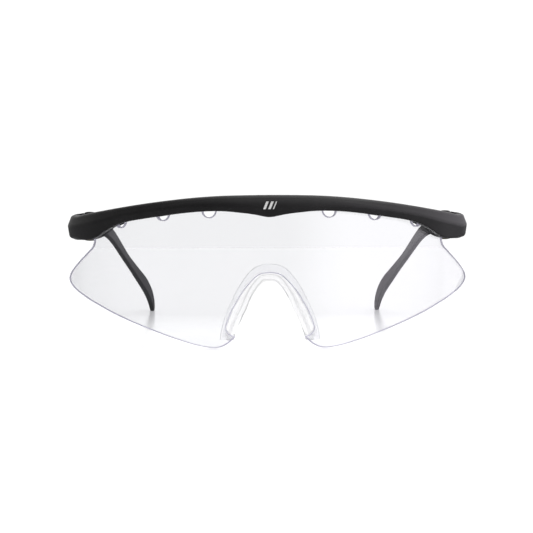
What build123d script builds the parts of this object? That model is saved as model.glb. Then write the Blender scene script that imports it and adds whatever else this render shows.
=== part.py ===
from build123d import *
import math
import os

# Protective racquet-sport eyewear, millimetres: brow frame, shield lens, nose pad, two temple
# arms, and a screw and a threaded-size insert at each hinge. It stands on the lens lobes and
# the temple tips, front towards -y, up +z. "Right" is +x, which is right as seen from in front.
# Frames used while building:
#   lens frame   apex of the lens front at y=0, lens rulings along z, lens axis at x=0, y=LENS_R
#   rest frame   lens frame leaned back by LEAN and raised by LIFT
#   hinge frame  x as in rest, z along the hinge axis, y rearwards, origin at the hinge centre
# The files are written with z=0 at the lowest point of the lens and y=0 at ROW_Y of the rest frame.

# ---------------------------------------------------------------- frames and fits
LENS_R = 86.0           # outer radius of the cylindrical shield
LENS_T = 2.2            # shield thickness
LEAN = 8.0              # lens frame leans back from vertical, degrees
LIFT = 0.33             # height offset from lens frame to rest frame
FIT = 0.05              # clearance around seated parts
ROW_Y = 75.27           # middle of the overall depth in the rest frame
AXIS_TILT = 15.0        # hinge axis leans back from vertical, degrees
HINGE = (68.8, 50.1, 41.5)   # right hinge centre in the rest frame

# ---------------------------------------------------------------- hinge, heights in the hinge frame
KNUCKLE_R = 2.4
KNUCKLE_MID = 1.45      # half height of the temple knuckle
KNUCKLE_TOP = 6.0       # top of the frame's upper knuckle
KNUCKLE_BOTTOM = -4.7   # bottom of the frame's lower knuckle
KNUCKLE_FILLET = 0.5
AXIAL = 0.05            # axial clearance of the temple knuckle in its slot
ARM_AXIAL = 0.02        # axial clearance between the arm's relief and its own knuckle
RELIEF = 0.15           # radial relief around knuckles
BUTT = 0.05             # half gap between the block end and the temple end
SCREW_R = 0.80
SCREW_RUN = 0.05        # radial clearance, screw in temple knuckle
SCREW_BOTTOM = -4.45
HEAD_R = 1.50
HEAD_H = 1.0
HEAD_SEAT = 4.75        # counterbore floor under the screw head
HEAD_GAP = 0.02         # gap between that floor and the head
CROSS_SLOT = (2.0, 0.42, 1.0)   # length, width and tool height of each cross slot
INSERT_R = 1.30
INSERT_BOTTOM = -4.65
INSERT_TOP = -1.95
THROUGH = 1.0           # how far bores run past the knuckle ends


def smooth_lookup(table, key):
    # monotone cubic through the (key, value) rows, even in key, constant outside the table
    key = abs(key)
    if key <= table[0][0]:
        return table[0][1]
    if key >= table[-1][0]:
        return table[-1][1]
    keys, values = zip(*table)
    last = len(table) - 1
    chords = [(values[i + 1] - values[i]) / (keys[i + 1] - keys[i]) for i in range(last)]
    slopes = [0.0]
    for before, after in zip(chords, chords[1:]):
        slopes.append(0.0 if before * after <= 0 else 2 * before * after / (before + after))
    slopes.append(chords[-1])
    i = next(j for j in range(last) if key <= keys[j + 1])
    step = keys[i + 1] - keys[i]
    t = (key - keys[i]) / step
    return ((1 + 2 * t) * (1 - t) ** 2 * values[i] + t * (1 - t) ** 2 * step * slopes[i]
            + t * t * (3 - 2 * t) * values[i + 1] + t * t * (t - 1) * step * slopes[i + 1])


def cylinder_point(angle, radius, z):
    # lens-frame point at this angle and radius about the lens axis
    turn = math.radians(angle)
    return Vector(radius * math.sin(turn), LENS_R - radius * math.cos(turn), z)


def tilt_back(y, z, degrees):
    c, s = math.cos(math.radians(degrees)), math.sin(math.radians(degrees))
    return y * c + z * s, -y * s + z * c


def hinge_to_rest(x, y, z):
    y, z = tilt_back(y, z, AXIS_TILT)
    return Vector(HINGE[0] + x, HINGE[1] + y, HINGE[2] + z)


def hinge_to_lens(x, y, z):
    point = hinge_to_rest(x, y, z)
    return Vector(point.X, *tilt_back(point.Y, point.Z - LIFT, -LEAN))


def place_lens(shape):
    # move a shape from the lens frame to the rest frame
    return Pos(0, 0, LIFT) * Rot(-LEAN, 0, 0) * shape


def place_hinge(shape):
    # move a shape from the right hinge frame to the rest frame
    return Pos(*HINGE) * Rot(-AXIS_TILT, 0, 0) * shape


def flip(shape):
    return mirror(shape, about=Plane.YZ)


def largest_solid(shape):
    return max(shape.solids(), key=lambda solid: solid.volume)


def disc(radius, z0, z1):
    return Solid.make_cylinder(radius, z1 - z0, Plane((0, 0, z0)))


def plan_block(points, z0, z1):
    face = Face(Wire.make_polygon([Vector(x, y, z0) for x, y in points], close=True))
    return Solid.extrude(face, Vector(0, 0, z1 - z0))


def rounded_ring(corners, rounds):
    # closed wire with a Bezier rounding at each corner and a straight between neighbours
    count = len(corners)
    roundings = []
    for i, corner in enumerate(corners):
        to_last = corners[i - 1] - corner
        to_next = corners[(i + 1) % count] - corner
        start = corner + to_last.normalized() * min(rounds[i], to_last.length * 0.45)
        end = corner + to_next.normalized() * min(rounds[i], to_next.length * 0.45)
        roundings.append((start, corner, end))
    edges = []
    for i, rounding in enumerate(roundings):
        edges.append(Edge.make_bezier(*rounding))
        edges.append(Edge.make_line(rounding[2], roundings[(i + 1) % count][0]))
    return Wire(edges)


# ---------------------------------------------------------------- shield lens
# Right half of the outline from the top middle round to the nose opening.
# Rows: angle about the lens axis in degrees, height in the lens frame.
LENS_TOP = [
    (0, 50.3), (2, 50.6), (4, 51.15), (6, 51.6), (8, 52.0), (10, 52.35), (12, 52.6), (15, 52.7),
    (20, 52.6), (25, 52.2), (30, 51.7), (33, 51.3), (36, 50.8), (38, 50.3), (40, 49.55),
    (42, 48.6), (44, 47.6), (46, 46.6), (48, 45.7), (50.5, 45.0)]
WING = [
    (50.5, 41.05), (51.2, 39.6), (52.84, 38.2), (54.6, 36.8), (56.6, 35.5), (58.6, 34.1),
    (60.6, 32.7), (62.35, 31.3), (63.6, 29.85), (64.0, 28.3), (63.2, 26.7), (61.4, 25.0),
    (58.85, 23.15), (56.0, 21.45), (53.0, 19.6), (49, 17.35), (46, 15.55), (43, 13.8),
    (40, 12.1), (37, 10.45), (34, 8.85), (31, 7.25), (28, 5.7), (25, 4.15), (22, 2.75),
    (20, 1.87), (18, 1.07), (16, 0.47), (15, 0.25), (14, 0.12), (13, 0.14), (12, 0.43),
    (11, 1.08), (10, 2.05), (9.2, 3.1)]
TOOTH = [(8.75, 3.75), (8.45, 4.1), (8.8, 4.33)]    # rounded nose of the retaining tooth
SHELF = [(9.64, 4.62), (10.37, 5.72), (10.79, 7.0)]
NOSE_CUT = [
    (10.79, 7.0), (10.55, 8.27), (10.13, 10.08), (9.63, 11.9), (9.14, 13.71), (8.4, 15.52),
    (7.72, 17.33), (6.98, 19.14), (6.15, 20.95), (5.15, 22.76), (4.01, 24.58), (2.6, 26.3),
    (1.3, 26.87), (0, 27.03)]

NOTCHES = [(14.9, 50.15), (27.2, 49.80), (40.3, 48.25)]   # vent notches: angle, centre height
NOTCH_R = 2.45
NOTCH_TOOL = 8          # radial depth of the notch tools, and height of the open part
SKETCH_Y = -20.0        # outlines are drawn on this plane, in front of the lens
TUBE_BASE, TUBE_H = -15, 90   # cylinder that outlines are projected on


def symmetric_outline(runs):
    # Edges on the sketch plane from right-hand runs of (angle, z) that share end points.
    # The first and last runs touch x=0 and become one spline each across both halves.
    def sketch_edge(points):
        points = [Vector(LENS_R * math.sin(math.radians(angle)), SKETCH_Y, z)
                  for angle, z in points]
        return Edge.make_line(*points) if len(points) == 2 else Edge.make_spline(points)

    def mirrored(points):
        return [(-angle, z) for angle, z in points]

    top, bottom = runs[0], runs[-1]
    edges = [sketch_edge(mirrored(reversed(top[1:])) + top)]
    for run in runs[1:-1]:
        edges += [sketch_edge(run), sketch_edge(mirrored(run))]
    edges.append(sketch_edge(bottom + mirrored(reversed(bottom[:-1]))))
    return edges


def curved_slab(runs, radius, depth):
    # front of the cylinder seen through the outline, thickened towards the lens axis
    outline = Face(Wire(symmetric_outline(runs)))
    prism = Solid.extrude(outline, Vector(0, LENS_R - SKETCH_Y, 0))
    tube = Solid.make_cylinder(radius, TUBE_H, Plane((0, LENS_R, TUBE_BASE)))
    skin = max(tube.faces(), key=lambda face: face.area)
    patch = max((skin & prism).faces(), key=lambda face: face.area)
    return Solid.thicken(patch, -depth)


def make_lens():
    runs = [LENS_TOP,
            [LENS_TOP[-1], WING[0]],
            WING,
            WING[-1:] + TOOTH + SHELF[:1],
            SHELF,
            NOSE_CUT]
    body = curved_slab(runs, LENS_R, LENS_T)
    for notch_angle, z in NOTCHES:
        for angle in (notch_angle, -notch_angle):
            c, s = math.cos(math.radians(angle)), math.sin(math.radians(angle))
            # plane facing the lens axis; its y points down, so Align.MAX opens the notch upwards
            plane = Plane(cylinder_point(angle, LENS_R - LENS_T / 2, z),
                          x_dir=(c, s, 0), z_dir=(-s, c, 0)).offset(-NOTCH_TOOL / 2)
            round_end = Solid.make_cylinder(NOTCH_R, NOTCH_TOOL, plane)
            opening = plane * Box(2 * NOTCH_R, NOTCH_TOOL, NOTCH_TOOL,
                                  align=(Align.CENTER, Align.MAX, Align.MIN))
            body = body - round_end - opening
    return place_lens(body)


# ---------------------------------------------------------------- brow frame
# Five-cornered section, corners in order: lower front, ridge, upper front, upper rear, lower rear.
# Rows: angle in degrees, value. Heights are in the lens frame, radii about the lens axis.
BAR_TOP = [
    (0, 55.41), (5, 55.39), (10, 55.36), (15, 55.18), (20, 54.85), (25, 54.41), (30, 53.95),
    (35, 53.48), (40, 53.03), (45, 52.63), (50, 52.33), (53, 52.18), (56, 52.07), (60, 51.85)]
BAR_BOTTOM = [
    (0, 47.05), (1, 47.14), (2, 47.5), (4, 48.15), (6, 48.55), (8, 48.92), (10, 49.28),
    (12, 49.5), (15, 49.52), (20, 49.25), (25, 48.70), (30, 48.12), (33, 47.78), (36, 47.40),
    (38, 47.0), (40, 46.35), (42, 45.4), (44, 44.4), (46, 43.3), (48, 42.25), (50, 41.95),
    (52, 42.02), (54, 42.36), (56, 42.97), (58, 43.5), (60, 44.1)]
RIDGE_Z = [
    (0, 51.4), (4, 51.5), (9, 51.75), (14, 51.95), (18, 52.0), (24, 51.45), (29, 50.85),
    (35, 50.1), (39.5, 49.6), (44.5, 48.65), (50, 48.0), (53, 47.75), (60, 47.6)]
RIDGE_RADIUS = [(0, 88.95), (15, 89.1), (30, 89.3), (60, 89.4)]
BACK_RADIUS = [(0, 82.1), (35, 82.2), (45, 82.0), (50, 81.6), (60, 81.3)]
UPPER_SETBACK = [(0, 1.05), (20, 1.1), (40, 1.25), (60, 1.5)]    # upper front behind the ridge
LOWER_SETBACK = [(0, 0.55), (20, 0.62), (40, 0.78), (60, 0.9)]   # lower front behind the ridge
RIDGE_ROUND = [
    (0, 2.6), (6, 2.45), (10, 2.0), (15, 1.3), (20, 0.9), (28, 0.7), (60, 0.65)]
REAR_RISE = [   # lower rear corner above the lower front one
    (0, 0.9), (30, 0.9), (36, 1.1), (38, 1.25), (40, 1.5), (42, 1.75), (44, 1.85), (46, 1.65),
    (48, 1.35), (50, 1.0), (52, 0.6), (54, 0.3), (60, 0.1)]
REAR_TOP_DROP = 0.15    # upper rear corner below the upper front one
BAR_ANGLES = [54, 51, 48, 45, 42, 39, 36, 32, 28, 24, 20, 16, 13, 10, 7.5, 5, 2.5]

# Each end adds a last radial section, one that turns, and the butt section.
LAST_ANGLE, LAST_REAR_RISE = 57, 0.1
LAST_ROUNDS = [0.9, 0.7, 1.3, 0.9, 0.7]
TURN_BULGE = 0.07       # outward shift of the turning section, per length spanned
TURN_ROUNDS = [1.2, 0.6, 1.1, 0.85, 0.75]
# x, z in the hinge frame: outer bottom, ridge, outer top, inner top, inner bottom
BUTT_CORNERS = [(7.75, -3.9), (8.55, 0.9), (7.1, 4.95), (1.9, 4.95), (1.9, -4.8)]
BUTT_ROUNDS = [1.6, 0.6, 1.0, 0.8, 0.8]

GROOVE_CAP = 0.06       # clearance above the lens inside the groove
GROOVE_END = 0.1        # groove past the lens shoulder, degrees
GROOVE_FLOOR = 36.0     # height the groove tool reaches down to

# web joining the knuckles to the block: x, y in the hinge frame
WEB_PLAN = [(-KNUCKLE_R, 0), (-KNUCKLE_R, -2.4), (-3.0, -5.6), (0.8, -6.4), (2.6, -4.0),
            (2.6, -BUTT), (KNUCKLE_R - 0.2, 0)]
WEB_BOTTOM = KNUCKLE_BOTTOM + 0.3
WEB_TOP = 4.2
SLOT_X, SLOT_Y = 3.4, 5.6   # box that opens the knuckle slot inwards from the axis
SLOT_SHIFT_Y = 0.2


def bar_corners(angle, rear_rise):
    top, bottom = smooth_lookup(BAR_TOP, angle), smooth_lookup(BAR_BOTTOM, angle)
    ridge, back = smooth_lookup(RIDGE_RADIUS, angle), smooth_lookup(BACK_RADIUS, angle)
    corners = [(ridge - smooth_lookup(LOWER_SETBACK, angle), bottom),
               (ridge, smooth_lookup(RIDGE_Z, angle)),
               (ridge - smooth_lookup(UPPER_SETBACK, angle), top),
               (back, top - REAR_TOP_DROP),
               (back, bottom + rear_rise)]
    return [cylinder_point(angle, radius, z) for radius, z in corners]


def bar_section(angle):
    return rounded_ring(bar_corners(angle, smooth_lookup(REAR_RISE, angle)),
                        [0.6, smooth_lookup(RIDGE_ROUND, angle), 1.3, 0.9, 0.6])


def end_sections(side):
    last = bar_corners(LAST_ANGLE, LAST_REAR_RISE)
    butt = [hinge_to_lens(x, -BUTT, z) for x, z in BUTT_CORNERS]
    turn = []
    for start, end in zip(last, butt):
        middle = (start + end) * 0.5
        outward = Vector(middle.X, middle.Y - LENS_R, 0).normalized()
        turn.append(middle + outward * (TURN_BULGE * (start - end).length))
    return [rounded_ring([Vector(side * p.X, p.Y, p.Z) for p in corners], rounds)
            for corners, rounds in ((last, LAST_ROUNDS), (turn, TURN_ROUNDS),
                                    (butt, BUTT_ROUNDS))]


def make_bar():
    wires = end_sections(-1)[::-1]
    wires += [bar_section(-angle) for angle in BAR_ANGLES]
    wires.append(bar_section(0))
    wires += [bar_section(angle) for angle in reversed(BAR_ANGLES)]
    wires += end_sections(1)
    return Solid.make_loft(wires)


def make_groove_tool():
    end_angle = LENS_TOP[-1][0] + GROOVE_END
    top = [(angle, z + GROOVE_CAP) for angle, z in LENS_TOP[:-1]]
    top.append((end_angle, LENS_TOP[-1][1] + GROOVE_CAP))
    floor_corner = (end_angle, GROOVE_FLOOR)
    runs = [top, [top[-1], floor_corner], [floor_corner, (0, GROOVE_FLOOR)]]
    return curved_slab(runs, LENS_R + FIT, LENS_T + 2 * FIT)


def make_frame():
    body = place_lens(make_bar())
    groove = place_lens(make_groove_tool())
    web = plan_block(WEB_PLAN, WEB_BOTTOM, WEB_TOP)
    barrel = disc(KNUCKLE_R, KNUCKLE_BOTTOM, KNUCKLE_TOP)
    barrel = fillet(barrel.edges().filter_by(GeomType.CIRCLE), KNUCKLE_FILLET)
    slot_half = KNUCKLE_MID + AXIAL
    slot = (disc(KNUCKLE_R + RELIEF, -slot_half, slot_half)
            + Pos(-SLOT_X / 2, SLOT_SHIFT_Y, 0) * Box(SLOT_X, SLOT_Y, 2 * slot_half))
    # screw hole, head counterbore, insert pocket
    bore = (disc(SCREW_R + 0.03, KNUCKLE_BOTTOM - THROUGH, KNUCKLE_TOP + THROUGH)
            + disc(HEAD_R + 0.05, HEAD_SEAT, KNUCKLE_TOP + THROUGH)
            + disc(INSERT_R + 0.01, KNUCKLE_BOTTOM - THROUGH, INSERT_TOP + 0.05))
    boss, slot, bore = [place_hinge(shape) for shape in (web + barrel, slot, bore)]
    body = body + boss
    body = body - slot - bore
    body = body + flip(boss)
    body = body - flip(slot) - flip(bore)
    return body - groove


# ---------------------------------------------------------------- right temple arm
# Rest frame centreline: y, x, z, lateral thickness, height
ARM = [
    (54.5, 71.75, 41.75, 5.3, 10.2),
    (59.5, 70.15, 41.65, 4.25, 8.9),
    (65.5, 68.3, 41.35, 3.35, 7.4),
    (72.0, 66.75, 40.6, 2.75, 6.2),
    (79.0, 65.15, 39.3, 2.35, 5.4),
    (86.0, 63.6, 37.0, 2.2, 4.9),
    (93.0, 62.15, 33.7, 2.1, 4.5),
    (101.0, 60.65, 29.7, 2.1, 4.15),
    (110.0, 59.1, 25.5, 2.1, 3.9),
    (119.0, 57.35, 21.4, 2.15, 4.2),
    (127.5, 55.45, 17.2, 2.25, 4.9),
    (135.0, 53.5, 13.1, 2.35, 5.5),
    (140.8, 52.25, 9.6, 2.4, 5.35),
    (144.9, 51.4, 6.4, 2.3, 4.95),
    (147.2, 50.85, 3.4, 2.1, 4.3),
]
ARM_START_DIRECTION = Vector(-0.16, 0.98, -0.13)
THICK_STATIONS = 4      # first stations, with the fuller outer bulge
TIP_STATIONS = 3        # last stations, which share the tip's sideways direction
TIP_Y, TIP_X, TIP_T, TIP_LENGTH = 148.1, 50.55, 1.5, 2.3   # flat that stands on the table
TIP_SIDE = Vector(0.978, 0.208, 0)      # across the tip, outwards
TIP_ALONG = Vector(-0.208, 0.978, 0)    # along the tip, rearwards
TIP_ROUNDS = [0.4, 0.4, 0.4, 0.35, 0.35]
# butt end: the frame's butt outline with a higher crown
ARM_BUTT_CORNERS = BUTT_CORNERS[:2] + [(7.1, 5.05), (1.9, 6.1)] + BUTT_CORNERS[4:]
# temple knuckle with its arm root: x, y in the hinge frame
ROOT_PLAN = [(-KNUCKLE_R, 0), (KNUCKLE_R, 0), (KNUCKLE_R, BUTT), (4.0, BUTT), (4.0, 7.0),
             (1.6, 7.0), (-KNUCKLE_R, 1.6)]
RELIEF_REACH = 9        # relief tools extend this far up and down
ARM_BORE_REACH = 6      # so does the screw hole


def arm_section(i, centres):
    thick, height = ARM[i][3:]
    if i == 0:
        along = ARM_START_DIRECTION.normalized()
    else:
        along = (centres[i + 1] - centres[i - 1]).normalized()
    if i < len(ARM) - TIP_STATIONS:
        side = Vector(along.Y, -along.X, 0).normalized()
    else:
        side = TIP_SIDE
    up = side.cross(along).normalized()
    half_t, half_h = thick / 2, height / 2
    bulge = (0.16 if i < THICK_STATIONS else 0.12) * thick
    # sideways and upward offsets, in the same corner order as the butt
    offsets = [(half_t * 0.86, -half_h), (half_t + bulge, 0.06 * height),
               (half_t * 0.80, half_h), (-half_t, half_h * 0.97), (-half_t, -half_h * 0.97)]
    soft = 0.30 * thick
    rounds = [min(1.4, soft * 1.4), 0.8, min(1.3, soft * 1.4), min(0.9, soft), min(0.9, soft)]
    return rounded_ring([centres[i] + side * u + up * v for u, v in offsets], rounds)


def tip_section(centre):
    half_t, half_l = TIP_T / 2, TIP_LENGTH / 2
    offsets = [(half_t * 0.9, -half_l), (half_t * 1.1, 0), (half_t * 0.9, half_l),
               (-half_t, half_l), (-half_t, -half_l)]
    return rounded_ring([centre + TIP_SIDE * u + TIP_ALONG * v for u, v in offsets], TIP_ROUNDS)


def make_temple(floor_z):
    centres = [Vector(x, y, z) for y, x, z, _, _ in ARM] + [Vector(TIP_X, TIP_Y, floor_z)]
    butt = [hinge_to_rest(x, BUTT, z) for x, z in ARM_BUTT_CORNERS]
    wires = [rounded_ring(butt, BUTT_ROUNDS)]
    wires += [arm_section(i, centres) for i in range(len(ARM))]
    wires.append(tip_section(centres[-1]))
    arm = Solid.make_loft(wires)
    # clear the frame's knuckles above and below, then add the temple knuckle
    relief_z = KNUCKLE_MID + ARM_AXIAL
    relief = (disc(KNUCKLE_R + RELIEF, relief_z, RELIEF_REACH)
              + disc(KNUCKLE_R + RELIEF, -RELIEF_REACH, -relief_z))
    arm = arm - place_hinge(relief)
    knuckle = (disc(KNUCKLE_R, -KNUCKLE_MID, KNUCKLE_MID)
               + plan_block(ROOT_PLAN, -KNUCKLE_MID, KNUCKLE_MID))
    arm = arm + place_hinge(knuckle)
    return arm - place_hinge(disc(SCREW_R + SCREW_RUN, -ARM_BORE_REACH, ARM_BORE_REACH))


# ---------------------------------------------------------------- right screw and insert
def make_screw():
    head_base = HEAD_SEAT + HEAD_GAP
    top = head_base + HEAD_H
    head = disc(HEAD_R, head_base, top)
    head = fillet(head.edges().filter_by(GeomType.CIRCLE).sort_by(Axis.Z)[-1:], 0.25)
    shaft = disc(SCREW_R, SCREW_BOTTOM, HEAD_SEAT + 0.1)
    length, width, height = CROSS_SLOT
    cross = Pos(0, 0, top) * Box(width, length, height) + Pos(0, 0, top) * Box(length, width, height)
    body = head + shaft
    return place_hinge(body - cross)


def make_insert():
    body = disc(INSERT_R, INSERT_BOTTOM, INSERT_TOP) - disc(SCREW_R + 0.02, -5, -1)
    # shallow groove round the outside
    groove = disc(INSERT_R + 0.5, -3.45, -3.15) - disc(INSERT_R - 0.18, -3.6, -3.0)
    return place_hinge(body - groove)


# ---------------------------------------------------------------- nose pad
# Sections are lofted along the nose opening, from the left foot over the crown to the right foot.
# Foot stations below the nose cut: angle, height, direction away from the nose (across, up),
# band width inside the opening, outer limit of the band in the lens plane, rear flange reach
PAD_FOOT = [(11.15, 4.05, 0.970, -0.243, 4.1, -2.75, 1.90),
            (10.98, 5.75, 0.998, -0.06, 4.2, -1.02, 1.85)]
CUT_START_DIRECTION, CUT_START_LIMIT = (0.993, 0.12), -0.15   # at the first nose-cut point
# height, value
PAD_WIDTH = [(7.0, 4.3), (9.5, 4.4), (12.5, 4.55), (15.5, 4.6), (20.0, 3.9), (24.0, 3.3),
             (27.03, 3.0)]
PAD_REACH = [(7.0, 1.8), (15.0, 2.05), (20.0, 2.5), (24.0, 2.95), (27.03, 3.5)]
PAD_LIP = 0.55          # overlap of the front lip on the lens
PAD_LIP_T = 0.35        # lip thickness
PAD_FLANGE_T = 1.4      # rear flange thickness
PAD_WALL = 1.5          # saddle wall
PAD_DEPTH = (4.6, 7.2)  # saddle depth behind the flange, at the crown and at the feet
PAD_FLARE = (1.3, 2.4)  # outward flare of the saddle over that depth


def pad_stations():
    # right-hand stations from foot to crown, columns as PAD_FOOT but with arc length for angle
    stations = [(LENS_R * math.radians(row[0]), *row[1:]) for row in PAD_FOOT]
    points = [(LENS_R * math.radians(angle), z) for angle, z in NOSE_CUT]
    last = len(points) - 1
    for i, (arc, z) in enumerate(points):
        limit = -FIT
        if i == 0:
            across, up = CUT_START_DIRECTION
            limit = CUT_START_LIMIT
        elif i == last:
            across, up = 0.0, 1.0
        else:
            run = points[i + 1][0] - points[i - 1][0]
            rise = points[i + 1][1] - points[i - 1][1]
            length = math.hypot(run, rise)
            across, up = rise / length, -run / length
        stations.append((arc, z, across, up, smooth_lookup(PAD_WIDTH, z), limit,
                         smooth_lookup(PAD_REACH, z)))
    return stations


def pad_section(station, foot_share, side):
    # foot_share runs from 0 at the crown to 1 at the foot
    arc, z, across, up, width, limit, reach = station
    angle = arc / LENS_R * side
    c, s = math.cos(angle), math.sin(angle)
    base = Vector(LENS_R * s, LENS_R - LENS_R * c, z)
    radial = Vector(s, -c, 0)
    away = Vector(c, s, 0) * side * across + Vector(0, 0, up)

    def section_point(offset, radius):
        # the last term follows the lens curvature sideways
        sag = (offset * across) ** 2 / (2 * LENS_R)
        return base + away * offset + radial * (radius - LENS_R - sag)

    depth = PAD_DEPTH[0] + (PAD_DEPTH[1] - PAD_DEPTH[0]) * foot_share
    flare = PAD_FLARE[0] + (PAD_FLARE[1] - PAD_FLARE[0]) * foot_share
    front = LENS_R + FIT
    lip = front + PAD_LIP_T
    back = LENS_R - LENS_T - FIT
    flange = back - PAD_FLANGE_T
    deep = flange - depth
    saddle = -width + flare
    profile = [
        (-width, lip - 0.1), (-width + 0.3, lip), (PAD_LIP, lip - 0.08), (PAD_LIP, front),
        (limit, front), (limit, back), (reach, back), (reach - 0.25, flange),
        (saddle + PAD_WALL - 0.1, flange - 0.3), (saddle + PAD_WALL, deep),
        (saddle + 0.3, deep - 0.35), (saddle, deep)]
    return Wire.make_polygon([section_point(*point) for point in profile], close=True)


def make_pad():
    stations = pad_stations()
    last = len(stations) - 1
    half = [(station, 1.0 - i / last) for i, station in enumerate(stations)]
    wires = [pad_section(station, share, -1) for station, share in half]
    wires += [pad_section(station, share, 1) for station, share in reversed(half[:-1])]
    return place_lens(Solid.make_loft(wires))


# ---------------------------------------------------------------- build and export
lens = largest_solid(make_lens())
floor_z = lens.bounding_box().min.Z

parts = {
    "brow_frame": largest_solid(make_frame()),
    "shield_lens": lens,
    "nose_pad": largest_solid(make_pad()),
}
for name, right_shape in (("temple_arm", make_temple(floor_z)),
                          ("hinge_screw", make_screw()),
                          ("hinge_insert", make_insert())):
    right = largest_solid(right_shape)
    parts[name + "_right"] = right
    parts[name + "_left"] = largest_solid(flip(right))

os.makedirs("parts", exist_ok=True)
for name, body in parts.items():
    moved = Pos(0, -ROW_Y, -floor_z) * body
    moved.label = name
    export_step(moved, "parts/" + name + ".step")
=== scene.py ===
# Wraparound eye shield: a clear curved lens under a brow frame, with two temple arms and a soft
# nose pad. Seen by the camera +X is right, -Y is the front and +Z is up; the shield leans back.
import bpy, bmesh, math, random
import numpy as np
from mathutils import Vector, Matrix
from mathutils.geometry import delaunay_2d_cdt, tessellate_polygon


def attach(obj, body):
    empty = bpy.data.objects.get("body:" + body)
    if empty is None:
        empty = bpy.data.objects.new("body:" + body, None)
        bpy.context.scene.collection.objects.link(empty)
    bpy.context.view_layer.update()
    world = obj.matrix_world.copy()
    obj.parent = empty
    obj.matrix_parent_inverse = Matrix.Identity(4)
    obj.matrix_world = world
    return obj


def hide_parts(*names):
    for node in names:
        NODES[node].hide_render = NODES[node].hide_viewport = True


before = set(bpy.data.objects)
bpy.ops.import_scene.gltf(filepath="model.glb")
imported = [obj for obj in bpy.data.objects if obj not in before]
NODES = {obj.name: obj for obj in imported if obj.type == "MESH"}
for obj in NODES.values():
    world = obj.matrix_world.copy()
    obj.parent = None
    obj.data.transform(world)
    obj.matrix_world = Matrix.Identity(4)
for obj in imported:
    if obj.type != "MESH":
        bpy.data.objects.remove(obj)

random.seed(7)
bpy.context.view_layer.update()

# Design sizes are millimetres, the scene is metres.
MM = 0.001
LENS_R = 86.0                            # radius of the lens front; its axis lies behind it
LENS_T = 2.2                             # thickness
LENS_BACK = LENS_R - LENS_T
LEAN = math.radians(8.0)
LIFT = 0.33
ORIGIN = Vector((0.0, -75.27, 0.2053))   # place of the upright lens frame in the scene
FIT = 0.05                               # gap between the pad and the lens


def to_scene(x, y, z):
    """Lean a point of the upright lens frame back and move it to its place, in metres."""
    c, s = math.cos(LEAN), math.sin(LEAN)
    return Vector((x + ORIGIN.x, y * c + z * s + ORIGIN.y, -y * s + z * c + LIFT + ORIGIN.z)) * MM


def lens_axes(x):
    """Outward and sideways directions at arc length x from the middle of the lens."""
    angle = x / LENS_R
    return (Vector((math.sin(angle), -math.cos(angle), 0)),
            Vector((math.cos(angle), math.sin(angle), 0)))


# ------------------------------------------------------------------ shader building
class Look:
    """Node tree of a material or world; colours are given as three numbers."""

    def __init__(self, owner, output_kind):
        self.owner = owner
        owner.use_nodes = True
        self.tree = owner.node_tree
        self.tree.nodes.clear()
        self.end = self.node(output_kind)

    def feed(self, socket, value):
        if isinstance(value, bpy.types.NodeSocket):
            self.tree.links.new(value, socket)
        elif socket.type == "RGBA":
            socket.default_value = (*value, 1)
        else:
            socket.default_value = value

    def node(self, kind, **inputs):
        node = self.tree.nodes.new("ShaderNode" + kind)
        for name, value in inputs.items():
            self.feed(node.inputs[name.replace("_", " ")], value)
        return node

    def output(self, kind, **inputs):
        return self.node(kind, **inputs).outputs[0]

    def noise(self, scale, detail=3, rough=0.6, distortion=0.0):
        return self.node("TexNoise", Scale=scale, Detail=detail, Roughness=rough,
                         Distortion=distortion, Vector=self.place).outputs["Fac"]

    def ramp(self, value, span, colours):
        node = self.node("ValToRGB", Fac=value)
        for element, position, colour in zip(node.color_ramp.elements, span, colours):
            element.position = position
            element.color = (*colour, 1)
        return node.outputs["Color"]

    def remap(self, value, span=(0.3, 0.7), to=(0.0, 1.0), curve="LINEAR"):
        """Carry span over to `to`, clamped; the default span is the usual reach of a noise."""
        node = self.node("MapRange", From_Min=span[0], From_Max=span[1],
                         To_Min=to[0], To_Max=to[1], Value=value)
        node.interpolation_type = curve
        return node.outputs["Result"]

    def calc(self, operation, *values):
        node = self.node("Math")
        node.operation = operation
        for socket, value in zip(node.inputs, values):
            self.feed(socket, value)
        return node.outputs[0]

    def times(self, first, second):
        return self.calc("MULTIPLY", first, second)

    def rest(self, value):
        return self.calc("SUBTRACT", 1.0, value)

    def mix_colour(self, factor, first, second):
        node = self.node("Mix")
        node.data_type = "RGBA"
        self.feed(node.inputs["Factor"], factor)
        # sockets 6, 7 and output 2 are the colour ones
        self.feed(node.inputs[6], first)
        self.feed(node.inputs[7], second)
        return node.outputs[2]

    def join(self, kind, *values):
        node = self.node(kind)
        for socket, value in zip(node.inputs, values):
            self.feed(socket, value)
        return node.outputs[0]

    def mix_shader(self, factor, first, second):
        return self.join("MixShader", factor, first, second)

    def bump(self, height, strength, distance):
        return self.output("Bump", Strength=strength, Distance=distance, Height=height)

    def principled(self, **inputs):
        return self.output("BsdfPrincipled", **inputs)

    def surface(self, shader):
        self.feed(self.end.inputs["Surface"], shader)
        return self.owner


def material(name):
    look = Look(bpy.data.materials.new(name), "OutputMaterial")
    look.place = look.output("Mapping", Vector=look.node("TexCoord").outputs["Object"])
    return look


def paint(obj, *materials):
    obj.data.materials.clear()
    for item in materials:
        obj.data.materials.append(item)


def scaled(colour, factor):
    return tuple(c * factor for c in colour)


# ------------------------------------------------------------------ nylon, with the brow mark
MARK_Z = 51.75                                        # mid height of the mark, mm
MARK_BARS = ((-1.25, 0.42), (0.55, 0.42), (2.0, 0.16))  # centre x, half width, mm
MARK_SLANT = 0.42                                     # sideways shift per height
MARK_HALF_HEIGHT = 1.35
MARK_SOFT = 0.07                                      # fade at the edge of the ink


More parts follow.
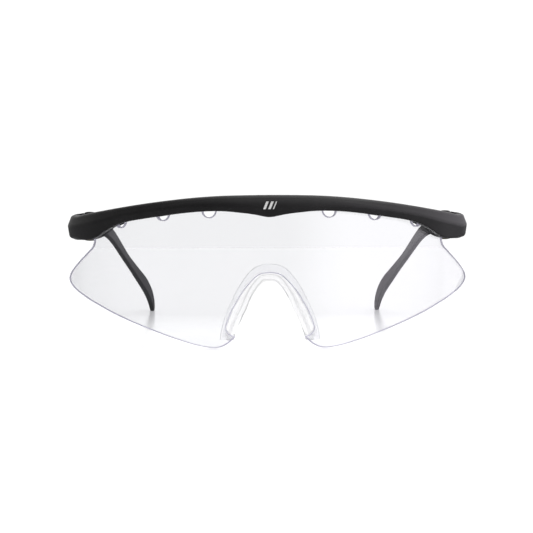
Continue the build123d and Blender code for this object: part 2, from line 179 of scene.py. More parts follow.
def print_mark(look, nylon, normal):
    """Three slanted pale bars printed on the front of the brow."""
    xyz = look.node("SeparateXYZ", Vector=look.node("TexCoord").outputs["Object"]).outputs
    x = look.times(xyz[0], 1000.0)
    z = look.calc("SUBTRACT", look.times(xyz[2], 1000.0), MARK_Z)
    slanted = look.calc("SUBTRACT", x, look.times(z, MARK_SLANT))
    bars = None
    for centre, half_width in MARK_BARS:
        away = look.calc("ABSOLUTE", look.calc("SUBTRACT", slanted, centre))
        bar = look.remap(away, span=(half_width, half_width + MARK_SOFT), to=(1.0, 0.0))
        bars = bar if bars is None else look.calc("MAXIMUM", bars, bar)
    height = look.remap(look.calc("ABSOLUTE", z),
                        span=(MARK_HALF_HEIGHT, MARK_HALF_HEIGHT + MARK_SOFT), to=(1.0, 0.0))
    front = look.remap(xyz[1], span=(-0.066, -0.0665))
    mask = look.times(look.times(bars, height), front)
    wear = look.remap(look.noise(scale=3600, detail=2, rough=0.55),
                      span=(0.25, 0.4), to=(0.75, 0.97))
    ink = look.times(mask, wear)
    paint_coat = look.principled(Base_Color=(0.78, 0.78, 0.77), Roughness=0.38, Normal=normal)
    return look.mix_shader(ink, nylon, paint_coat)


def nylon(name, base, rough, mark=False):
    """Moulded nylon: fine skin, slow flow variation, tiny dust specks."""
    look = material(name)
    skin = look.noise(scale=5200)
    flow = look.noise(scale=90, detail=4, distortion=0.8)
    wide = look.noise(scale=24, rough=0.5)
    speck = look.noise(scale=1700, detail=2, rough=0.5)
    colour = look.ramp(flow, span=(0.25, 0.75), colours=(scaled(base, 0.78), scaled(base, 1.25)))
    dust = look.remap(speck, span=(0.735, 0.79), to=(0.0, 0.35))
    colour = look.mix_colour(dust, colour, (0.20, 0.20, 0.21))
    roughness = look.calc("ADD", look.remap(wide, to=(rough - 0.05, rough + 0.06)),
                          look.remap(skin, to=(-0.03, 0.03)))
    height = look.calc("ADD", look.times(skin, 0.75), look.times(flow, 0.25))
    normal = look.bump(height, strength=0.16, distance=0.00003)
    shader = look.principled(Base_Color=colour, Roughness=roughness, Normal=normal, IOR=1.5,
                             Specular_IOR_Level=0.36)
    if mark:
        shader = print_mark(look, shader, normal)
    return look.surface(shader)


# ------------------------------------------------------------------ clear materials
def shadow_pass(look, shader, colour):
    """Let shadow rays through tinted, so a clear piece only dims what it shades."""
    is_shadow = look.node("LightPath").outputs["Is Shadow Ray"]
    return look.mix_shader(is_shadow, shader, look.output("BsdfTransparent", Color=colour))


def tint(look):
    """Colour that deepens with the thickness of the sheet."""
    volume = look.output("VolumeAbsorption", Color=(0.600, 0.605, 0.650), Density=128.0)
    look.feed(look.end.inputs["Volume"], volume)


def polycarbonate():
    """Clear sheet with handling smears and a little dust."""
    look = material("lens_polycarbonate")
    smear = look.noise(scale=55, detail=5, rough=0.62, distortion=1.4)
    wipe = look.noise(scale=14, rough=0.5, distortion=2.5)
    fine = look.noise(scale=900, detail=2, rough=0.5)
    roughness = look.times(look.remap(smear, span=(0.50, 0.78), to=(0.0, 0.018)),
                           look.remap(wipe, span=(0.4, 0.6), to=(0.2, 1.0)))
    glass = look.principled(Base_Color=(0.985, 0.987, 0.992), Roughness=roughness, IOR=1.586,
                            Transmission_Weight=1.0)
    dust = look.remap(fine, span=(0.74, 0.80), to=(0.0, 0.05))
    powder = look.output("BsdfDiffuse", Color=(0.8, 0.8, 0.82))
    mixed = look.mix_shader(dust, glass, powder)
    tint(look)
    return look.surface(shadow_pass(look, mixed, (0.90, 0.905, 0.915)))


def cut_edge():
    """Rim of the sheet: satin, faintly violet, with fine cutter marks and a painted glow of its
    own.
    """
    look = material("lens_cut_edge")
    lines = look.noise(scale=2600)
    patch = look.noise(scale=120, rough=0.5)
    colour = look.ramp(patch, span=(0.25, 0.75),
                       colours=((0.50, 0.485, 0.57), (0.62, 0.605, 0.69)))
    normal = look.bump(lines, strength=0.25, distance=0.00002)
    glass = look.principled(Base_Color=(0.80, 0.79, 0.85), IOR=1.586, Transmission_Weight=1.0,
                            Roughness=look.remap(lines, to=(0.22, 0.40)), Normal=normal)
    satin = look.principled(Base_Color=colour, Roughness=0.45, Normal=normal)
    carried = look.output("BsdfTranslucent", Color=colour, Normal=normal)
    carried_share, milky_share = 0.55, 0.78
    milky = look.mix_shader(carried_share, satin, carried)
    body = look.mix_shader(milky_share, glass, milky)
    # painted glow: emission standing in for light carried inside the sheet out to its edge
    painted_glow = look.output("Emission", Strength=0.40, Color=colour)
    both = look.join("AddShader", body, painted_glow)
    tint(look)
    return look.surface(shadow_pass(look, both, (0.62, 0.62, 0.66)))


def elastomer():
    """Clear soft pad: milky body, satin skin, flow clouds, painted shade where seen edge on and
    on the nose side, painted light on the lens side.
    """
    look = material("pad_elastomer")
    skin = look.noise(scale=2400)
    cloud = look.noise(scale=150, detail=4, distortion=0.6)
    streak = look.noise(scale=420, rough=0.55, distortion=0.3)
    edge_power = 2.6
    facing = look.node("LayerWeight", Blend=0.5).outputs["Facing"]
    # the facing mask drives a painted shade: the body greys where the pad is seen edge on
    edge = look.calc("POWER", facing, edge_power)
    normal = look.bump(skin, strength=0.06, distance=0.00003)
    across = look.node("Attribute")
    across.attribute_name = "across"
    # 0 on the nose side of the section, 1 on the lens side
    flange = look.remap(across.outputs["Fac"], span=(-0.9, 0.3))
    # greyer body on the nose side is painted shade, lighter body on the lens side is painted
    # light on the flange seen through the lens
    body = look.mix_colour(flange, (0.942, 0.942, 0.942), (0.982, 0.982, 0.985))
    body = look.mix_colour(edge, body, (0.93, 0.93, 0.94))
    clear = look.output("BsdfRefraction", IOR=1.02, Color=body,
                        Roughness=look.remap(cloud, to=(0.16, 0.22)), Normal=normal)
    white = look.ramp(cloud, span=(0.2, 0.8), colours=((0.86, 0.86, 0.87), (0.93, 0.93, 0.935)))
    front = look.output("BsdfDiffuse", Color=white)
    through = look.output("BsdfTranslucent", Color=white)
    through_share = 0.72
    milk = look.mix_shader(through_share, front, through)
    haze = look.calc("ADD", look.remap(cloud, to=(0.14, 0.21)),
                     look.remap(streak, span=(0.45, 0.75), to=(0.0, 0.03)))
    haze = look.times(haze, look.remap(flange, span=(0.0, 1.0), to=(1.0, 0.42)))
    hazy = look.mix_shader(haze, clear, milk)
    gloss = look.output("BsdfGlossy", Color=(0.9, 0.9, 0.9),
                        Roughness=look.remap(skin, to=(0.14, 0.26)), Normal=normal)
    coat = look.mix_shader(look.output("Fresnel", IOR=1.11), hazy, gloss)
    return look.surface(shadow_pass(look, coat, (0.88, 0.885, 0.895)))


def metal(name, base, rough):
    """Turned metal: rings around Z, fine scratches, slight tarnish."""
    look = material(name)
    fine = look.noise(scale=6500)
    tarnish = look.noise(scale=700)
    colour = look.ramp(tarnish, span=(0.25, 0.7), colours=(scaled(base, 0.72), base))
    roughness = look.remap(fine, to=(rough - 0.08, rough + 0.10))
    rings = look.node("TexWave", Scale=2600, Vector=look.place)
    rings.wave_type = "RINGS"
    rings.rings_direction = "Z"
    height = look.calc("ADD", rings.outputs["Fac"], fine)
    normal = look.bump(height, strength=0.12, distance=0.00002)
    return look.surface(look.principled(Base_Color=colour, Roughness=roughness, Metallic=1.0,
                                        Normal=normal))


FRAME_MAT = nylon("frame_nylon", base=(0.0125, 0.0120, 0.0125), rough=0.40, mark=True)
ARM_MAT = nylon("temple_nylon", base=(0.0150, 0.0140, 0.0165), rough=0.42)
LENS_MAT = polycarbonate()
RIM_MAT = cut_edge()
PAD_MAT = elastomer()
SCREW_MAT = metal("screw_steel", base=(0.56, 0.56, 0.58), rough=0.30)
BRASS_MAT = metal("insert_brass", base=(0.42, 0.33, 0.18), rough=0.38)

paint(NODES["brow_frame"], FRAME_MAT)
for side in ("left", "right"):
    paint(NODES["temple_arm_" + side], ARM_MAT)
    paint(NODES["hinge_screw_" + side], SCREW_MAT)
    paint(NODES["hinge_insert_" + side], BRASS_MAT)


# ------------------------------------------------------------------ mesh helpers
def add_object(name, mesh):
    obj = bpy.data.objects.new(name, mesh)
    bpy.context.scene.collection.objects.link(obj)
    return obj


def face_outward(mesh):
    """Turn all faces outward and shade them smooth."""
    work = bmesh.new()
    work.from_mesh(mesh)
    bmesh.ops.recalc_face_normals(work, faces=work.faces)
    work.to_mesh(mesh)
    work.free()
    mesh.update()
    for face in mesh.polygons:
        face.use_smooth = True


# ------------------------------------------------------------------ lens outline, right half
# Columns: angle around the lens axis in degrees, height z in mm. Each run starts where the
# one before it ends, except that a straight side joins LENS_TOP to WING.
LENS_TOP = [
    (0, 50.3), (2, 50.6), (4, 51.15), (6, 51.6), (8, 52.0), (10, 52.35), (12, 52.6), (15, 52.7),
    (20, 52.6), (25, 52.2), (30, 51.7), (33, 51.3), (36, 50.8), (38, 50.3), (40, 49.55),
    (42, 48.6), (44, 47.6), (46, 46.6), (48, 45.7), (50.5, 45.0)]
WING = [
    (50.5, 41.05), (51.2, 39.6), (52.84, 38.2), (54.6, 36.8), (56.6, 35.5), (58.6, 34.1),
    (60.6, 32.7), (62.35, 31.3), (63.6, 29.85), (64.0, 28.3), (63.2, 26.7), (61.4, 25.0),
    (58.85, 23.15), (56.0, 21.45), (53.0, 19.6), (49, 17.35), (46, 15.55), (43, 13.8),
    (40, 12.1), (37, 10.45), (34, 8.85), (31, 7.25), (28, 5.7), (25, 4.15), (22, 2.75),
    (20, 1.87), (18, 1.07), (16, 0.47), (15, 0.25), (14, 0.12), (13, 0.14), (12, 0.43),
    (11, 1.08), (10, 2.05), (9.2, 3.1)]
TOOTH = [(9.2, 3.1), (8.75, 3.75), (8.45, 4.1), (8.8, 4.33), (9.64, 4.62)]
SHELF = [(9.64, 4.62), (10.37, 5.72), (10.79, 7.0)]
NOSE_CUT = [
    (10.79, 7.0), (10.55, 8.27), (10.13, 10.08), (9.63, 11.9), (9.14, 13.71), (8.4, 15.52),
    (7.72, 17.33), (6.98, 19.14), (6.15, 20.95), (5.15, 22.76), (4.01, 24.58), (2.6, 26.3),
    (1.3, 26.87), (0, 27.03)]
NOTCHES = [(14.9, 50.15), (27.2, 49.80), (40.3, 48.25)]  # round-ended slots in the top edge
NOTCH_R = 2.45
NOTCH_STEPS = 36
OUTLINE_STEP = 0.3
TOOTH_STEP = 0.15
SMOOTH_PASSES = 4


def developed(table):
    """Angle and height to arc length and height."""
    return [(LENS_R * math.radians(angle), z) for angle, z in table]


def second_derivatives(knots, values):
    """Natural cubic spline: solve the tridiagonal system for the second derivatives."""
    n = len(knots)
    lower, main, upper, target = [0.0] * n, [1.0] * n, [0.0] * n, [0.0] * n
    for i in range(1, n - 1):
        h0, h1 = knots[i] - knots[i - 1], knots[i + 1] - knots[i]
        lower[i], main[i], upper[i] = h0, 2 * (h0 + h1), h1
        target[i] = 6 * ((values[i + 1] - values[i]) / h1 - (values[i] - values[i - 1]) / h0)
    for i in range(1, n):
        factor = lower[i] / main[i - 1]
        main[i] -= factor * upper[i - 1]
        target[i] -= factor * target[i - 1]
    bends = [0.0] * n
    bends[-1] = target[-1] / main[-1]
    for i in range(n - 2, -1, -1):
        bends[i] = (target[i] - upper[i] * bends[i + 1]) / main[i]
    return bends


def spline(points, step):
    """Natural cubic through the points, sampled evenly by chord length."""
    knots = [0.0]
    for (x0, z0), (x1, z1) in zip(points, points[1:]):
        knots.append(knots[-1] + math.hypot(x1 - x0, z1 - z0))
    columns = [(values, second_derivatives(knots, values)) for values in zip(*points)]

    def sample(values, bends, i, s):
        h = knots[i + 1] - knots[i]
        a, b = (knots[i + 1] - s) / h, (s - knots[i]) / h
        return (a * values[i] + b * values[i + 1]
                + ((a ** 3 - a) * bends[i] + (b ** 3 - b) * bends[i + 1]) * h * h / 6)

    count = max(2, int(round(knots[-1] / step)))
    samples, i = [], 0
    for k in range(count + 1):
        s = knots[-1] * k / count
        while i < len(points) - 2 and s > knots[i + 1]:
            i += 1
        samples.append(tuple(sample(*column, i, s) for column in columns))
    return samples


def mirror_run(points):
    """Symmetric run, left to right, from a right half that starts at x = 0."""
    return [(-x, z) for x, z in reversed(points[1:])] + points


def resample(points, step):
    """Even spacing along a closed outline."""
    closed = np.array(points + points[:1], float)
    length = np.r_[0, np.cumsum(np.hypot(*np.diff(closed, axis=0).T))]
    count = int(round(length[-1] / step))
    at = np.linspace(0, length[-1], count, endpoint=False)
    return np.c_[np.interp(at, length, closed[:, 0]), np.interp(at, length, closed[:, 1])]


def cut_notch(top, angle, z):
    x = LENS_R * math.radians(angle)
    before = [p for p in top if p[0] < x - NOTCH_R]
    after = [p for p in top if p[0] > x + NOTCH_R]
    turns = [math.pi + math.pi * j / NOTCH_STEPS for j in range(NOTCH_STEPS + 1)]
    slot = [(x + NOTCH_R * math.cos(turn), z + NOTCH_R * math.sin(turn)) for turn in turns]
    return (before + [(x - NOTCH_R, before[-1][1])] + slot
            + [(x + NOTCH_R, after[0][1])] + after)


def lens_outline():
    """Closed developed outline, clockwise seen from the front, from the top middle."""
    top = spline(mirror_run(developed(LENS_TOP)), OUTLINE_STEP)
    top = [p for p in top if p[0] >= -1e-9]
    for angle, z in NOTCHES:
        top = cut_notch(top, angle, z)
    wing = spline(developed(WING), OUTLINE_STEP)
    tooth = spline(developed(TOOTH), TOOTH_STEP)
    nose = spline(mirror_run(developed(NOSE_CUT)[::-1])[::-1], OUTLINE_STEP)
    nose = [p for p in nose if p[0] >= 0]
    right = top + wing + tooth[1:] + developed(SHELF)[1:] + nose[1:]
    left = [(-x, z) for x, z in reversed(right) if x > 1e-6]
    points = resample(right + left, OUTLINE_STEP)
    for _ in range(SMOOTH_PASSES):
        points = 0.25 * np.roll(points, 1, 0) + 0.5 * points + 0.25 * np.roll(points, -1, 0)
    # a run that starts on the middle plane is evened out with its mirror image
    if abs(points[0, 0]) < 1e-3:
        points = 0.5 * (points + np.roll(points[::-1] * (-1, 1), 1, 0))
    return points


# ------------------------------------------------------------------ lens mesh
RIM_ROUND = 0.34
RIM_TURNS = [math.radians(angle) for angle in (22.5, 45, 67.5, 90)]
LENS_GRID = 1.4          # spacing of the points inside the sheet


def inset_rim(outline):
    """Inward directions, and rounding radii cut back wherever the inset would fold."""
    after = np.roll(outline, -1, 0)
    along = after - np.roll(outline, 1, 0)
    along /= np.hypot(*along.T)[:, None]
    inward = np.c_[along[:, 1], -along[:, 0]]
    radius = np.full(len(outline), RIM_ROUND)
    edge = after - outline
    for _ in range(60):
        inner = outline + inward * radius[:, None]
        step = np.roll(inner, -1, 0) - inner
        bad = np.sum(step * edge, 1) < 0.3 * np.sum(edge * edge, 1)
        if not bad.any():
            break
        near = bad | np.roll(bad, 1) | np.roll(bad, -1) | np.roll(bad, 2)
        radius[near] *= 0.85
    return inward, radius


def grid_inside(outline, inner):
    """Staggered grid points inside the inset outline and clear of it."""
    low, high = outline.min(0), outline.max(0)
    grid_x, grid_z = np.meshgrid(np.arange(low[0] + LENS_GRID, high[0], LENS_GRID),
                                 np.arange(low[1] + LENS_GRID, high[1], LENS_GRID * 1.5))
    grid_z = grid_z + (np.arange(grid_x.shape[1]) % 2)[None, :] * LENS_GRID * 0.7
    points = np.c_[grid_x.ravel(), grid_z.ravel()]
    inside = np.zeros(len(points), bool)
    for (x1, z1), (x2, z2) in zip(inner, np.roll(inner, 1, 0)):
        if z1 != z2:
            crossed = (z1 > points[:, 1]) != (z2 > points[:, 1])
            inside ^= crossed & (points[:, 0] < x1 + (x2 - x1) * (points[:, 1] - z1) / (z2 - z1))
    points = points[inside]
    gap = (0.55 * LENS_GRID) ** 2
    return points[np.array([np.min(np.sum((inner - p) ** 2, 1)) > gap for p in points])]


def build_lens(name):
    """Curved sheet with a rounded rim; also returns the material slot of each face."""
    outline = lens_outline()
    n = len(outline)
    inward, radius = inset_rim(outline)
    inner = outline + inward * radius[:, None]
    points = [Vector(p) for p in inner] + [Vector(p) for p in grid_inside(outline, inner)]
    sheet = delaunay_2d_cdt(points, [(i, (i + 1) % n) for i in range(n)], [], 1, 1e-6)
    if len(sheet[0]) != len(points):
        raise ValueError(f"{name}: the inset outline crosses itself")
    verts, normals, faces = [], [], []
    lean = Matrix.Rotation(-LEAN, 3, "X")

    def put(x, z, rho, outward, into=(0, 0)):
        """Add a point; outward is the normal's share along the radius, the rest is off into."""
        radial, sideways = lens_axes(x)
        sheet_share = math.sqrt(max(0.0, 1 - outward * outward))
        normal = radial * outward - (sideways * into[0] + Vector((0, 0, into[1]))) * sheet_share
        angle = x / LENS_R
        verts.append(tuple(to_scene(rho * math.sin(angle), LENS_R - rho * math.cos(angle), z)))
        normals.append(tuple((lean @ normal).normalized()))
        return len(verts) - 1

    front = [put(*p, LENS_R, 1.0) for p in points]
    back = [put(*p, LENS_BACK, -1.0) for p in points]
    for tri in sheet[2]:
        a, b, c = (points[k] for k in tri)
        tri = list(tri) if (b - a).cross(c - a) > 0 else list(reversed(tri))
        faces.append([front[k] for k in tri])
        faces.append([back[k] for k in reversed(tri)])
    rings = [front[:n]]
    for rho, outward, turns in ((LENS_R, 1, RIM_TURNS), (LENS_BACK, -1, RIM_TURNS[::-1])):
        for turn in turns:
            at = outline + inward * (radius * (1 - math.sin(turn)))[:, None]
            rings.append([put(*at[i], rho - outward * radius[i] * (1 - math.cos(turn)),
                              outward * math.cos(turn), inward[i]) for i in range(n)])
    rings.append(back[:n])
    sheet_faces = len(faces)
    for ring, following in zip(rings, rings[1:]):
        for i in range(n):
            j = (i + 1) % n
            faces.append([ring[i], ring[j], following[j], following[i]])
    mesh = bpy.data.meshes.new(name)
    mesh.from_pydata(verts, [], faces)
    face_outward(mesh)
    mesh.normals_split_custom_set_from_vertices(normals)
    return add_object(name, mesh), [0] * sheet_faces + [1] * (len(faces) - sheet_faces)


lens, lens_slots = build_lens("shield_lens_visual")
paint(lens, LENS_MAT, RIM_MAT)
lens.data.polygons.foreach_set("material_index", lens_slots)
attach(lens, "front")
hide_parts("shield_lens")

# ------------------------------------------------------------------ nose pad
# A saddle along the nose cut. In its section, "across" grows from the nose into the lens sheet.
# Feet, columns: angle, z, direction across (x, z), width, groove floor, reach behind the lens.
PAD_FOOT = [(11.15, 4.05, 0.970, -0.243, 4.1, -2.75, 1.90),
            (10.98, 5.75, 0.998, -0.06, 4.2, -1.02, 1.85)]
# Along the cut, columns: z, value.
PAD_WIDTH = [(7.0, 4.3), (9.5, 4.4), (12.5, 4.55), (15.5, 4.6), (20.0, 3.9), (24.0, 3.3),
             (27.03, 3.0)]
PAD_REACH = [(7.0, 1.8), (15.0, 2.05), (20.0, 2.5), (24.0, 2.95), (27.03, 3.5)]
PAD_SUBSTEPS = 6
PAD_LIP = 0.55                                     # overlap on the front of the lens
PAD_BACK = LENS_BACK - FIT
CORNER_STEPS = 5
CAP_RINGS = ((0.015, 0.35), (0.05, 0.70), (0.11, 0.95))   # inset, lift


def pad_rows():
    """Stations from the right foot up to the middle, columns as PAD_FOOT with x for angle."""
    points = developed(NOSE_CUT)
    last = len(points) - 1
    rows = [(LENS_R * math.radians(angle), *others) for angle, *others in PAD_FOOT]
    for i, (x, z) in enumerate(points):
        (x0, z0), (x1, z1) = points[max(0, i - 1)], points[min(last, i + 1)]
        length = math.hypot(x1 - x0, z1 - z0)
        across, groove = ((z1 - z0) / length, -(x1 - x0) / length), -FIT
        if i == 0:
            across, groove = (0.993, 0.12), -0.15
        elif i == last:
            across = (0.0, 1.0)
        rows.append((x, z, *across, np.interp(z, *zip(*PAD_WIDTH)), groove,
                     np.interp(z, *zip(*PAD_REACH))))
    return rows


def catmull(rows, i, t):
    """Catmull-Rom between rows i and i + 1."""
    around = [rows[max(0, min(len(rows) - 1, k))] for k in (i - 1, i, i + 1, i + 2)]
    return [0.5 * (2 * q + (r - p) * t + (2 * p - 5 * q + 4 * r - s) * t * t
                   + (3 * q - p - 3 * r + s) * t ** 3) for p, q, r, s in zip(*around)]


def pad_stations():
    """Dense stations from the left foot to the right, each with its share of the run."""
    rows = pad_rows()
    whole = [(-x, z, -across_x, *others) for x, z, across_x, *others in rows] + rows[-2::-1]
    spans = len(whole) - 1
    dense = [(catmull(whole, i, j / PAD_SUBSTEPS), (i + j / PAD_SUBSTEPS) / spans)
             for i in range(spans) for j in range(PAD_SUBSTEPS)]
    dense.append((list(whole[-1]), 1.0))
    # the section turns and tapers evenly over the arch
    even_end, even_fade, spread, window = 0.72, 0.2, 5.5, 12
    stations = []
    for i, (row, u) in enumerate(dense):
        share = max(0.0, min(1.0, (even_end - abs(u - 0.5) * 2) / even_fade))
        near = [(dense[j][0], math.exp(-((j - i) / spread) ** 2))
                for j in range(max(0, i - window), min(len(dense), i + window + 1))]
        total = sum(weight for _, weight in near)
        even = [sum(r[c] * weight for r, weight in near) / total for c in range(7)]
        stations.append((row[:2] + [row[c] + (even[c] - row[c]) * share for c in range(2, 7)], u))
    return stations


def pad_section(width, groove, reach, footward):
    """Closed section (across, radius); footward runs from 0 at the middle to 1 at a foot."""
    flare = 1.3 + 1.1 * footward
    deep = PAD_BACK - 1.4 - (4.6 + 2.6 * footward)
    # columns: across, radius, corner rounding
    corners = [
        (-width, LENS_R + 0.3, 0.5), (PAD_LIP, LENS_R + 0.4, 0.16),
        (PAD_LIP, LENS_R + FIT, 0.10), (groove, LENS_R + FIT, 0.12),
        (groove, PAD_BACK, 0.12), (reach, PAD_BACK, 0.12),
        (reach - 0.1, PAD_BACK - 1.35, 0.5), (-width + flare + 1.55, PAD_BACK - 1.6, 0.7),
        (-width + flare + 1.5, deep + 0.1, 0.65), (-width + flare, deep, 0.65)]
    points = []
    for i, corner in enumerate(corners):
        following = corners[(i + 1) % len(corners)]
        before, here, after = (Vector(c[:2]) for c in (corners[i - 1], corner, following))
        back, ahead = before - here, after - here
        start = here + back.normalized() * min(corner[2], back.length * 0.45)
        end = here + ahead.normalized() * min(corner[2], ahead.length * 0.45)
        for j in range(CORNER_STEPS + 1):
            t = j / CORNER_STEPS
            points.append(start * (1 - t) ** 2 + here * 2 * t * (1 - t) + end * t * t)
        # the straight up to the next corner
        stop = after + (here - after).normalized() * min(following[2], ahead.length * 0.45)
        for j in range(1, CORNER_STEPS):
            points.append(end + (stop - end) * (j / CORNER_STEPS))
    return points


def pad_place(x, z, across_x, across_z, point):
    """Scene place of a section point at a station."""
    angle = x / LENS_R
    radial, sideways = lens_axes(x)
    base = Vector((LENS_R * math.sin(angle), LENS_R - LENS_R * math.cos(angle), z))
    across = sideways * across_x + Vector((0, 0, across_z))
    curve = (point.x * across_x) ** 2 / (2 * LENS_R)
    return to_scene(*(base + across * point.x + radial * (point.y - LENS_R - curve)))


def build_pad():
    sections, places, verts, faces, across = [], [], [], [], []

    def put(place, point):
        verts.append(tuple(pad_place(*place, point)))
        across.append(point.x)
        return len(verts) - 1

    def bridge(ring, following, flip=False):
        for j in range(len(ring)):
            k = (j + 1) % len(ring)
            face = (ring[j], ring[k], following[k], following[j])
            faces.append(face[::-1] if flip else face)

    def cap(end, neighbour, flip):
        """Rounded foot end, reaching lower behind the lens than in its plane."""
        section, (x, z, *direction) = sections[end], places[end]
        dx, dz = x - places[neighbour][0], z - places[neighbour][1]
        length = math.hypot(dx, dz)
        dx, dz = dx / length, dz / length
        behind = [p.x for p in section if p.y < PAD_BACK]
        middle, half = (min(behind) + max(behind)) / 2, (max(behind) - min(behind)) / 2
        inward = []
        for j in range(size):
            along = section[(j + 1) % size] - section[j - 1]
            inward.append(Vector((along.y, -along.x)).normalized())
        ring = rings[end]
        for inset, lift in CAP_RINGS:
            following = []
            for p, into in zip(section, inward):
                q = p + into * inset
                k = max(0.0, min(1.0, (PAD_BACK - q.y) / 0.6))
                arch = math.sqrt(max(0.0, 1 - min(1.0, abs(q.x - middle) / half) ** 2.4))
                rise = lift * 1.2 * arch * k * k * (3 - 2 * k) + 0.05 * lift
                following.append(put((x + dx * rise, z + dz * rise, *direction), q))
            bridge(ring, following, flip)
            ring = following
        last_inset = CAP_RINGS[-1][0]
        flat = [Vector((*(p + into * last_inset), 0)) for p, into in zip(section, inward)]
        for tri in tessellate_polygon([flat]):
            faces.append(tuple(ring[j] for j in tri))

    for (x, z, across_x, across_z, width, groove, reach), u in pad_stations():
        length = math.hypot(across_x, across_z)
        places.append((x, z, across_x / length, across_z / length))
        sections.append(pad_section(width, groove, reach, abs(u - 0.5) * 2))
    size = len(sections[0])
    rings = [[put(place, p) for p in section] for place, section in zip(places, sections)]
    for ring, following in zip(rings, rings[1:]):
        # each quad starts at the ring nearer the left foot
        bridge(ring, following)
    cap(0, 1, flip=True)
    cap(len(rings) - 1, len(rings) - 2, flip=False)

    mesh = bpy.data.meshes.new("nose_pad_visual")
    mesh.from_pydata(verts, [], faces)
    mesh.validate()
    mesh.attributes.new("across", "FLOAT", "POINT").data.foreach_set("value", across)
    face_outward(mesh)
    mesh.set_sharp_from_angle(angle=math.radians(42))
    return add_object("nose_pad_visual", mesh)


pad = build_pad()
paint(pad, PAD_MAT)
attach(pad, "front")
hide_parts("nose_pad")

# ------------------------------------------------------------------ floor
FLOOR_HALF = 6.0         # metres
FLOOR_REAR = 0.543


def floor_pale():
    look = material("floor_pale")
    colour = look.ramp(look.noise(scale=3.0, rough=0.5), span=(0.2, 0.8),
                       colours=((0.855, 0.86, 0.86), (0.875, 0.88, 0.875)))
    y = look.node("SeparateXYZ", Vector=look.place).outputs[1]
    # duller and brighter white in front of the shield: the stronger emission there is painted
    # light that washes out the shadows on the floor
    ahead = look.remap(y, span=(0.055, -0.025))
    roughness = look.remap(look.noise(scale=40, rough=0.55), to=(0.185, 0.20))
    top = look.principled(Base_Color=colour, Roughness=roughness,
                          Specular_IOR_Level=look.remap(ahead, span=(0.0, 1.0), to=(0.35, 0.04)))
    painted_glow = look.output("Emission", Color=(1, 1, 1),
                       Strength=look.remap(ahead, span=(0.0, 1.0), to=(0.15, 0.38)))
    lit = look.join("AddShader", top, painted_glow)
    # mirror rays meet a plain darker glowing floor, a painted reflection in the lens and frame
    dark = look.output("Emission", Color=(0.95, 0.96, 1.0), Strength=0.28)
    rays = look.node("LightPath").outputs
    mirrored = look.times(rays["Is Glossy Ray"], look.rest(rays["Is Transmission Ray"]))
    return look.surface(look.mix_shader(mirrored, lit, dark))


floor_mesh = bpy.data.meshes.new("floor")
floor_mesh.from_pydata([(-FLOOR_HALF, -FLOOR_HALF, 0), (FLOOR_HALF, -FLOOR_HALF, 0),
                        (FLOOR_HALF, FLOOR_REAR, 0), (-FLOOR_HALF, FLOOR_REAR, 0)],
                       [], [(0, 1, 2, 3)])
floor = add_object("floor", floor_mesh)
floor.location.z = -0.00004
paint(floor, floor_pale())


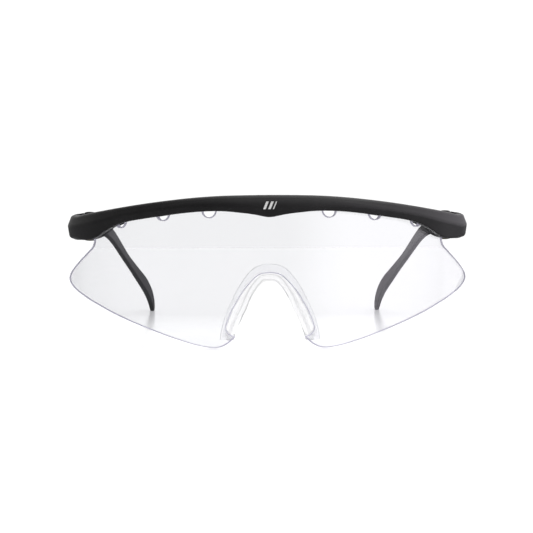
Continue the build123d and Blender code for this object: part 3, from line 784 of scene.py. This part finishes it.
# ------------------------------------------------------------------ world
def studio():
    """White sweep behind, overhead panel, bright right side, dim left and dark ceiling corner."""
    world = bpy.data.worlds.new("studio")
    bpy.context.scene.world = world
    look = Look(world, "OutputWorld")
    direction = look.node("TexCoord").outputs["Generated"]
    x, y, z = look.node("SeparateXYZ", Vector=direction).outputs

    def soft(value, start, end):
        return look.remap(value, span=(start, end), curve="SMOOTHSTEP")

    def brightest(first, second):
        return look.calc("MAXIMUM", first, second)

    # brightness of each source, and how far the left end and the corner are dimmed
    room, sweep, right_side, left_side = 0.04, 1.06, 1.26, 0.13
    left_dimming, corner_dimming = 0.80, 0.88
    back = look.times(soft(y, start=-0.05, end=0.42),
                      look.rest(look.times(soft(x, start=-0.40, end=-0.85), left_dimming)))
    high = soft(z, start=0.50, end=0.86)
    right = look.times(look.times(soft(x, start=0.10, end=0.75), soft(z, start=-0.15, end=0.12)),
                       look.rest(soft(z, start=0.45, end=0.80)))
    left = look.times(soft(x, start=-0.55, end=-0.95), look.rest(soft(z, start=0.30, end=0.60)))
    corner = look.times(soft(z, start=0.30, end=0.70), soft(x, start=-0.05, end=-0.50))
    lit = look.rest(look.times(corner, corner_dimming))
    value = look.calc("ADD", room, look.times(look.times(back, sweep), lit))
    # the panel is weaker for diffuse rays than in reflections
    panel = look.remap(look.node("LightPath").outputs["Is Diffuse Ray"], span=(0.0, 1.0),
                       to=(2.3, 0.42))
    value = brightest(value, look.times(look.times(high, panel), lit))
    value = brightest(value, look.times(right, right_side))
    value = brightest(value, look.times(left, left_side))
    colour = look.mix_colour(right, (1.0, 1.0, 1.0), (1.0, 0.955, 1.035))
    room_light = look.output("Background", Color=colour, Strength=value)
    backdrop = look.output("Background", Color=(1, 1, 1), Strength=1.06)
    is_camera = look.node("LightPath").outputs["Is Camera Ray"]
    look.surface(look.mix_shader(is_camera, room_light, backdrop))


studio()


# ------------------------------------------------------------------ lights and camera
def area(name, place, target, size, watts, colour=(1, 1, 1)):
    light = bpy.data.lights.new(name, "AREA")
    light.shape = "RECTANGLE"
    light.size, light.size_y = size
    light.energy = watts
    light.color = colour
    obj = add_object(name, light)
    obj.location = place
    obj.rotation_euler = (Vector(target) - Vector(place)).to_track_quat("-Z", "Y").to_euler()
    obj.visible_glossy = False
    obj.visible_transmission = False


SHIELD = (0, -0.03, 0.04)
area("top_softbox", place=(0.0, 0.15, 1.1), target=(0, 0, 0), size=(1.6, 1.2), watts=3.6)
area("right_softbox", place=(1.0, -0.75, 0.65), target=SHIELD, size=(0.7, 0.9), watts=3.3,
     colour=(1.0, 0.985, 1.0))
area("left_fill", place=(-1.1, -0.5, 0.35), target=SHIELD, size=(0.35, 0.7), watts=0.22,
     colour=(0.97, 0.99, 1.0))

CAMERA_AT = (-10.0, -620.75, 73.44)                  # mm from ORIGIN
PAN, PITCH, ROLL = (math.radians(angle) for angle in (-0.816, 90 - 4.02, -0.22))

camera_data = bpy.data.cameras.new("camera")
camera_data.sensor_width = 36.0
camera_data.lens = 116.9155722
camera_data.shift_x, camera_data.shift_y = -0.00028142589, -0.00046904315
camera_data.clip_start, camera_data.clip_end = 0.01, 50
camera = add_object("camera", camera_data)
camera.location = [(at + origin) * MM for at, origin in zip(CAMERA_AT, ORIGIN)]
aim = Matrix.Rotation(PAN, 3, "Z") @ Matrix.Rotation(PITCH, 3, "X")
camera.rotation_euler = (aim @ Matrix.Rotation(ROLL, 3, "Z")).to_euler()

scene = bpy.context.scene
scene.camera = camera
scene.view_settings.view_transform = "Standard"
scene.view_settings.look = "None"
scene.view_settings.exposure = 0.0
